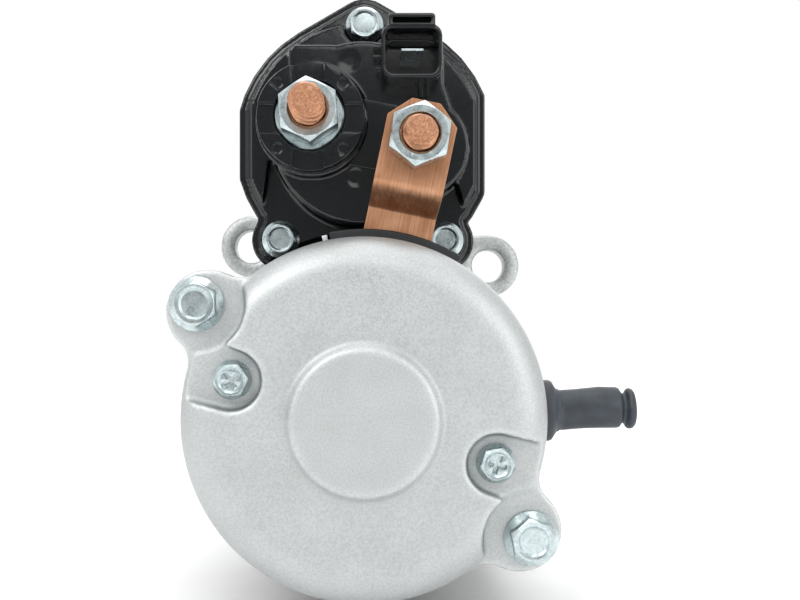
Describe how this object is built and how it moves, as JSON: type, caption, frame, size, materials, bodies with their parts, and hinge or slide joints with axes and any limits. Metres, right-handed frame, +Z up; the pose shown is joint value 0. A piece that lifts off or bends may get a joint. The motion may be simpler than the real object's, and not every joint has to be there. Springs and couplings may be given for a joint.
{
  "type": "starter motor",
  "caption": "Gear-reduction starter motor with a blasted rear end cover, a black solenoid cap with copper terminals and a drive pinion in a cast nose.",
  "frame": {"origin": "on the motor axis, in the plane of the mounting flange that meets the engine", "axes": "+Y along the motor axis towards the pinion, +Z up towards the solenoid, +X to the right seen from the rear cover"},
  "size_m": [0.1122, 0.1885, 0.1482],
  "materials": {
    "cast_aluminium": "die-cast, light blasting",
    "blasted_aluminium": "fine bead-blasted casting",
    "zinc_plate": "bright zinc plating",
    "machined_steel": "turned and ground",
    "laminations": "stacked electrical steel",
    "copper": "bare copper, rolled or turned",
    "bronze": "sintered bronze",
    "painted_steel": "satin black paint",
    "black_phenolic": "moulded, semi-gloss",
    "filled_nylon": "moulded, matt",
    "carbon": "pressed copper-graphite",
    "ferrite": "sintered and ground",
    "rubber": "moulded, matt"
  },
  "bodies": {
    "motor_case": {"drive_housing": "cast_aluminium", "nose_bush": "bronze", "yoke": "painted_steel", "rear_cover": "blasted_aluminium", "rear_bearing_outer_ring": "machined_steel", "brush_holder": "filled_nylon", "ring_gear": "filled_nylon", "centre_bracket": "cast_aluminium", "lever_pivot_pin": "machined_steel", "solenoid_case": "painted_steel", "solenoid_coil": "copper", "solenoid_core": "machined_steel", "plunger_return_spring": "machined_steel", "contact_spring": "machined_steel", "solenoid_cover": "black_phenolic", "battery_stud": "copper", "motor_stud": "copper", "battery_washer": "zinc_plate", "battery_nut": "zinc_plate", "motor_nut": "zinc_plate", "signal_blade": "zinc_plate", "motor_lead_bar": "copper", "lead_grommet": "rubber", "drain_tube": "rubber", "through_bolt_1": "zinc_plate", "brush_holder_screw_1": "zinc_plate", "through_bolt_2": "zinc_plate", "brush_holder_screw_2": "zinc_plate", "cover_screw_1": "zinc_plate", "cover_screw_2": "zinc_plate", "cover_screw_3": "zinc_plate", "magnet_1": "ferrite", "brush_1": "carbon", "brush_spring_1": "machined_steel", "magnet_2": "ferrite", "brush_2": "carbon", "brush_spring_2": "machined_steel", "magnet_3": "ferrite", "brush_3": "carbon", "brush_spring_3": "machined_steel", "magnet_4": "ferrite", "brush_4": "carbon", "brush_spring_4": "machined_steel"},
    "armature": {"armature_shaft": "machined_steel", "armature_core": "laminations", "armature_windings": "copper", "commutator": "copper", "rear_bearing_balls": "machined_steel"},
    "planet_1": {"planet_gear_1": "machined_steel"},
    "planet_2": {"planet_gear_2": "machined_steel"},
    "planet_3": {"planet_gear_3": "machined_steel"},
    "output": {"output_shaft": "machined_steel", "pinion_stop_collar": "machined_steel"},
    "clutch": {"clutch_shell": "machined_steel", "clutch_rollers": "machined_steel"},
    "pinion": {"pinion": "machined_steel"},
    "lever": {"shift_lever": "filled_nylon"},
    "plunger": {"plunger": "zinc_plate"},
    "contact_bridge": {"contact_rod": "filled_nylon", "contact_plate": "copper"}
  },
  "joints": [
    {"name": "armature_spin", "type": "hinge", "parent": "motor_case", "child": "armature", "pos_m": [0, -0.08, 0], "axis": [0, 1, 0], "continuous": true},
    {"name": "carrier_spin", "type": "hinge", "parent": "motor_case", "child": "output", "pos_m": [0, -0.035, 0], "axis": [0, 1, 0], "continuous": true},
    {"name": "planet_spin_1", "type": "hinge", "parent": "output", "child": "planet_1", "pos_m": [0, -0.05, 0.01688], "axis": [0, 1, 0], "continuous": true},
    {"name": "planet_spin_2", "type": "hinge", "parent": "output", "child": "planet_2", "pos_m": [-0.01461, -0.05, -0.00844], "axis": [0, 1, 0], "continuous": true},
    {"name": "planet_spin_3", "type": "hinge", "parent": "output", "child": "planet_3", "pos_m": [0.01461, -0.05, -0.00844], "axis": [0, 1, 0], "continuous": true},
    {"name": "plunger_slide", "type": "slide", "parent": "motor_case", "child": "plunger", "axis": [0, -1, 0], "range_m": [0, 0.009], "stiffness_N_per_m": 1500, "springref_m": -0.01, "deforming": ["plunger_return_spring"]},
    {"name": "lever_swing", "type": "hinge", "parent": "motor_case", "child": "lever", "pos_m": [0, -0.01438, 0.042], "axis": [1, 0, 0], "range_deg": [0, 21.3]},
    {"name": "clutch_slide", "type": "slide", "parent": "output", "child": "clutch", "axis": [0, 1, 0], "range_m": [0, 0.01576]},
    {"name": "pinion_overrun", "type": "hinge", "parent": "clutch", "child": "pinion", "pos_m": [0, 0.007, 0], "axis": [0, 1, 0], "continuous": true},
    {"name": "contact_slide", "type": "slide", "parent": "motor_case", "child": "contact_bridge", "axis": [0, -1, 0], "range_m": [0, 0.00321], "deforming": ["contact_spring"]}
  ],
  "couplings": [
    {"joint": "carrier_spin", "follows": "armature_spin", "ratio": 0.22222},
    {"joint": "planet_spin_1", "follows": "armature_spin", "ratio": -0.62222},
    {"joint": "planet_spin_2", "follows": "armature_spin", "ratio": -0.62222},
    {"joint": "planet_spin_3", "follows": "armature_spin", "ratio": -0.62222},
    {"joint": "lever_swing", "follows": "plunger_slide", "rad_per_m": 41.188},
    {"joint": "clutch_slide", "follows": "plunger_slide", "ratio": 1.75},
    {"joint": "contact_slide", "follows": "plunger_slide", "ratio": 0.35556}
  ]
}
